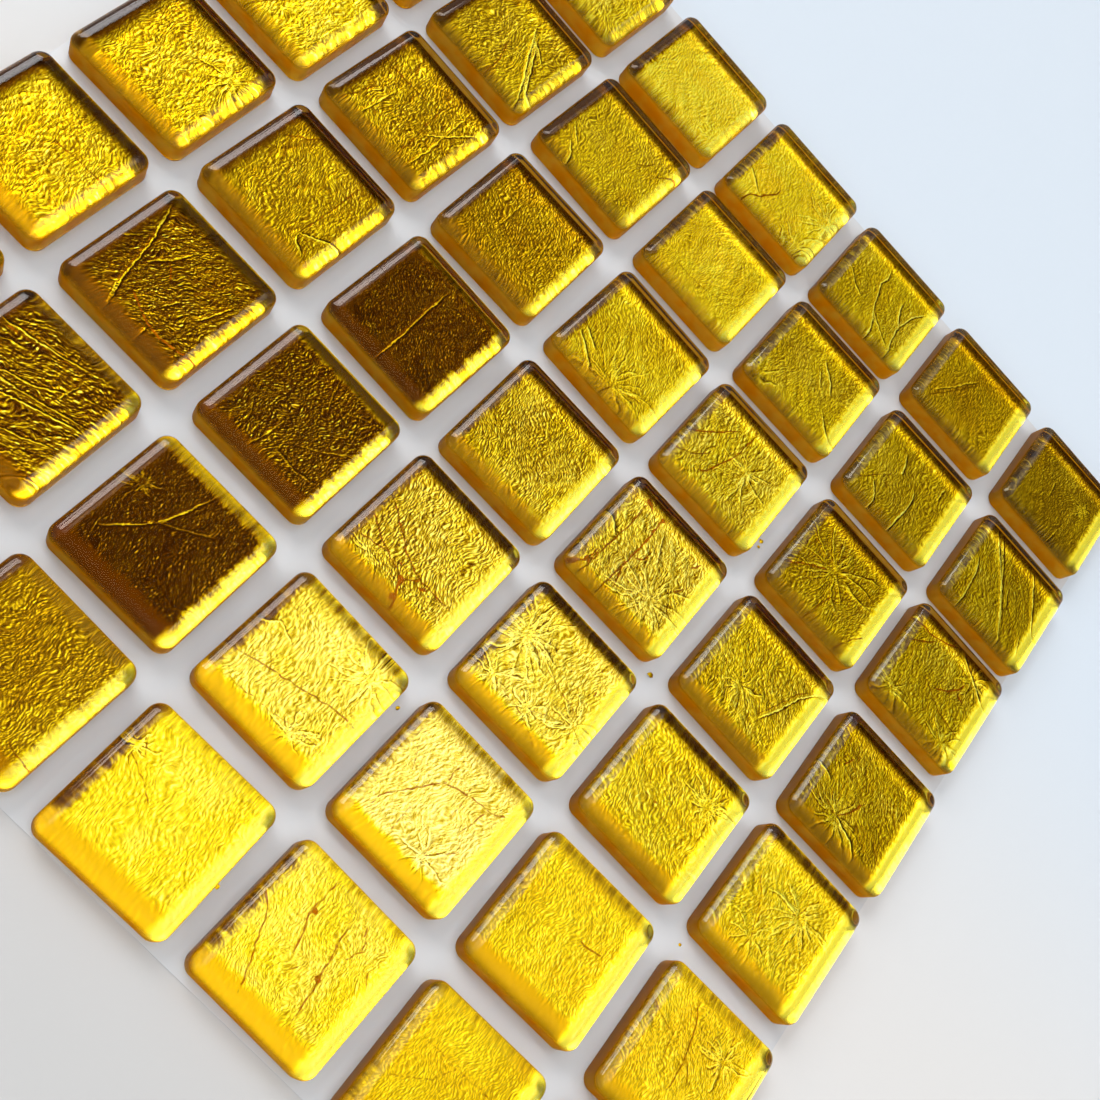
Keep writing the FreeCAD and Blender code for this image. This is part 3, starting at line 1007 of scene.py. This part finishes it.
def leaf_value(nodes, grain, here, speck):
    """The leaf's place on its scale of tones: tone, painted light and shade on wrinkles and creases, and
    amber.
    """
    tone, rough, amber = nodes.parts(nodes.attribute("paint", "Vector"))
    ray, ray_near, seed = nodes.parts(nodes.attribute("lines", "Vector"))
    # Painted light and shade: wrinkles are pale on one side and deep on the other, as if lit from that side
    slope = nodes.minus(here, wrinkle_height(nodes, nodes.vector("ADD", grain, (0.45, 0.15, 0.0))))
    painted_light_and_shade = nodes.plus(nodes.times(slope, 1.3), nodes.size(nodes.times(slope, 0.4)))
    # Painted glints on the highest of the finest wrinkles
    painted_light_and_shade = nodes.plus(painted_light_and_shade, nodes.remap(here, 0.60, 0.72, 0.0, 0.12))
    # Painted glints: on dark squares some of them glint, in clusters
    coarse = wrinkle_height(nodes, nodes.vector("MULTIPLY", grain, (0.22, 0.45, 1.0)))
    painted_glint = nodes.times(nodes.remap(slope, 0.13, 0.25), nodes.remap(tone, 0.08, 0.32, 0.34, 0.0))
    painted_light_and_shade = nodes.plus(painted_light_and_shade, nodes.times(painted_glint, nodes.remap(coarse, 0.40, 0.62, 0.15, 1.0)))
    away = nodes.math("SUBTRACT", 1.0, nodes.times(ray_near, 0.5), clamp=True)
    painted_light_and_shade = nodes.times(painted_light_and_shade, nodes.times(rough, away))
    # A crease is a thin bright crest, a painted highlight, with the deep flank beside it in painted shade
    jagged = nodes.plus(ray, nodes.times(speck, 0.10))
    crest = nodes.remap(nodes.size(jagged), 0.0, 0.17, 0.42, 0.0)
    shaded_flank = nodes.times(nodes.remap(jagged, 0.03, 0.15), nodes.remap(jagged, 0.15, 0.45, 0.36, 0.0))
    lines = nodes.times(nodes.minus(crest, shaded_flank), ray_near)
    return nodes.plus(tone, nodes.plus(painted_light_and_shade, lines)), amber


def foil_material():
    """Crinkled leaf: tones in painted light and shade by wrinkles, warmed or paled by square, brown and red
    tears.
    """
    material, nodes = new_material("gold_foil")
    grain = nodes.attribute("grain", "Vector")
    here = wrinkle_height(nodes, grain)
    speck = nodes.remap(here, 0.3, 0.7, -1.0, 1.0, kind="LINEAR")
    value, amber = leaf_value(nodes, grain, here, speck)
    ramp = nodes.add("ValToRGB", {0: value})
    stops = ramp.color_ramp.elements
    for index, (place, colour) in enumerate(FOIL_TONES):
        stop = stops[index] if index < 2 else stops.new(place)
        stop.position = place
        stop.color = (*colour, 1.0)
    # Painted highlight: where warm is below 0, the brightest crests are paled
    highlight_paleness = nodes.math("MAXIMUM", nodes.times(amber, -1.0), 0.0)
    milky = nodes.times(nodes.remap(value, 0.45, 1.0), highlight_paleness)
    leaf = nodes.mix(milky, ramp.outputs[0], PAINTED_CREST_HIGHLIGHT, "ADD")
    leaf = nodes.mix(amber, leaf, WARM_TINT, "MULTIPLY")

    tear, tear_near, seed = nodes.parts(nodes.attribute("tears", "Vector"))
    torn = nodes.remap(nodes.size(tear), 0.03, 0.22, 1.0, 0.0)
    torn = nodes.times(torn, nodes.plus(tear_near, nodes.times(speck, 0.35)))
    red = nodes.remap(nodes.plus(tear_near, nodes.times(speck, 0.4)), 0.5, 1.1)
    torn_colour = nodes.mix(red, nodes.mix(1.0, leaf, TEAR_TINT, "MULTIPLY"), TEAR_RED)
    colour = nodes.mix(nodes.remap(torn, 0.12, 0.6), leaf, torn_colour)
    metal = {"Base Color": colour, "Metallic": 1.0, "Roughness": LEAF_ROUGHNESS}
    nodes.finish(nodes.made("BsdfPrincipled", metal))
    return material


def film_material():
    """Clear film with a milky body and a gloss that its slow waves break up."""
    material, nodes = new_material("clear_film")
    waves = nodes.noise(nodes.own_place(), FILM_WAVES_IN_METRE, Detail=1.0)
    bump = nodes.made("Bump", {"Height": waves, "Distance": FILM_WAVE_HEIGHT})
    gloss = nodes.made("BsdfGlossy", {"Roughness": FILM_ROUGHNESS, "Normal": bump})
    clear = nodes.made("BsdfTransparent", {"Color": FILM_CLEAR})
    haze = nodes.made("BsdfDiffuse", {"Color": FILM_HAZE})
    body = nodes.blend(FILM_MILKINESS, clear, haze)
    nodes.finish(nodes.blend(nodes.fresnel(FILM_IOR), body, gloss))
    return material


def floor_material():
    """Pale floor in painted light: cool beyond the sheet, neutral beside it and greyer in painted shade near.
    """
    material, nodes = new_material("pale_floor")
    across = nodes.parts(nodes.own_place())["Y"]
    colour = FLOOR_LIGHT_COLOURS[0]
    for (start, end), beyond in zip(FLOOR_TURNS, FLOOR_LIGHT_COLOURS[1:]):
        colour = nodes.mix(nodes.remap(across, start, end), colour, beyond)
    nodes.finish(nodes.made("BsdfPrincipled", {"Base Color": colour, "Roughness": FLOOR_ROUGHNESS}))
    return material


def studio_world():
    """Soft light from all round, written over the sky seen as a flat ceiling: u along X and v along Y."""
    world = bpy.data.worlds.new("studio")
    bpy.context.scene.world = world
    world.use_nodes = True
    # The light has no small bright places to look for, so it is read as it is
    world.cycles.sampling_method = "NONE"
    nodes = Nodes(world.node_tree)
    x, y, z = nodes.parts(nodes.add("TexCoord").outputs["Generated"])
    up = nodes.math("MAXIMUM", z, LEAST_RISE)
    u = nodes.math("DIVIDE", x, up)
    v = nodes.math("DIVIDE", y, up)

    def spot(cu, cv, ru, rv, inner, outer):
        """1 inside an ellipse of the ceiling, falling to 0 outside it."""
        a = nodes.math("DIVIDE", nodes.minus(u, cu), ru)
        b = nodes.math("DIVIDE", nodes.minus(v, cv), rv)
        distance = nodes.math("SQRT", nodes.plus(nodes.times(a, a), nodes.times(b, b)))
        return nodes.remap(distance, inner, outer, 1.0, 0.0)

    level = SKY_LEVEL
    for strength, shape in SKY_SPOTS:
        level = nodes.plus(level, nodes.times(strength, spot(*shape)))
    shade, shape = SKY_SHADE
    level = nodes.times(level, nodes.minus(1.0, nodes.times(spot(*shape), shade)))
    lit = nodes.made("Background", {"Color": SKY_COLOUR, "Strength": level})
    seen = nodes.made("Background", {"Color": BACKDROP_COLOUR})
    straight = nodes.add("LightPath").outputs["Is Camera Ray"]
    nodes.finish(nodes.blend(straight, lit, seen), "OutputWorld")


def make_camera():
    data = bpy.data.cameras.new("camera")
    data.lens = CAMERA_LENS
    data.clip_start = CAMERA_NEAR
    obj = bpy.data.objects.new("camera", data)
    bpy.context.scene.collection.objects.link(obj)
    look = (CAMERA_AIM - CAMERA_AT).to_track_quat("-Z", "Y").to_matrix().to_4x4()
    roll = Matrix.Rotation(math.radians(CAMERA_ROLL), 4, "Z")
    obj.matrix_world = Matrix.Translation(CAMERA_AT) @ look @ roll
    bpy.context.scene.camera = obj


def make_floor():
    sides = [(-1, -1), (1, -1), (1, 1), (-1, 1)]
    corners = [(x * FLOOR_HALF, y * FLOOR_HALF, -FLOOR_DROP) for x, y in sides]
    floor = mesh_object("floor", corners, [(0, 1, 2, 3)], smooth=False)
    floor.data.materials.append(floor_material())


def dress(obj, material, node):
    """Gives a new piece its material and lets it take the place of the model's own."""
    obj.data.materials.append(material)
    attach(obj, "root")
    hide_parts(node)


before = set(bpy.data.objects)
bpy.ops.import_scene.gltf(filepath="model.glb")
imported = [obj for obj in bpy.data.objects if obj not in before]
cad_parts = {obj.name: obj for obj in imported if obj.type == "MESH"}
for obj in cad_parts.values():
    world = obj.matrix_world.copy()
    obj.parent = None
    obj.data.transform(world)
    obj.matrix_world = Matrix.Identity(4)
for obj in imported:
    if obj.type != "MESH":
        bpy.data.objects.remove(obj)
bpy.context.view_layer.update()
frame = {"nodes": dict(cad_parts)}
make_camera()
make_floor()
studio_world()

places = chip_places(frame["nodes"])
film = frame["nodes"]["backing_film"]
film.data.materials.clear()
film.data.materials.append(film_material())
film_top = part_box("backing_film")[1][2]

glass = glass_material()
gold = foil_material()
for letter in ROW_LETTERS:
    dress(foil_row(letter, places, film_top), gold, f"foil_row_{letter}")
    for number in range(1, CHIPS_IN_ROW + 1):
        key = f"{letter}{number}"
        chip = glass_chip(f"clear_glass_{key}", film_top + CHIP_GAP, places[key])
        dress(chip, glass, f"glass_chip_{key}")

bpy.context.scene.view_settings.view_transform = "Standard"
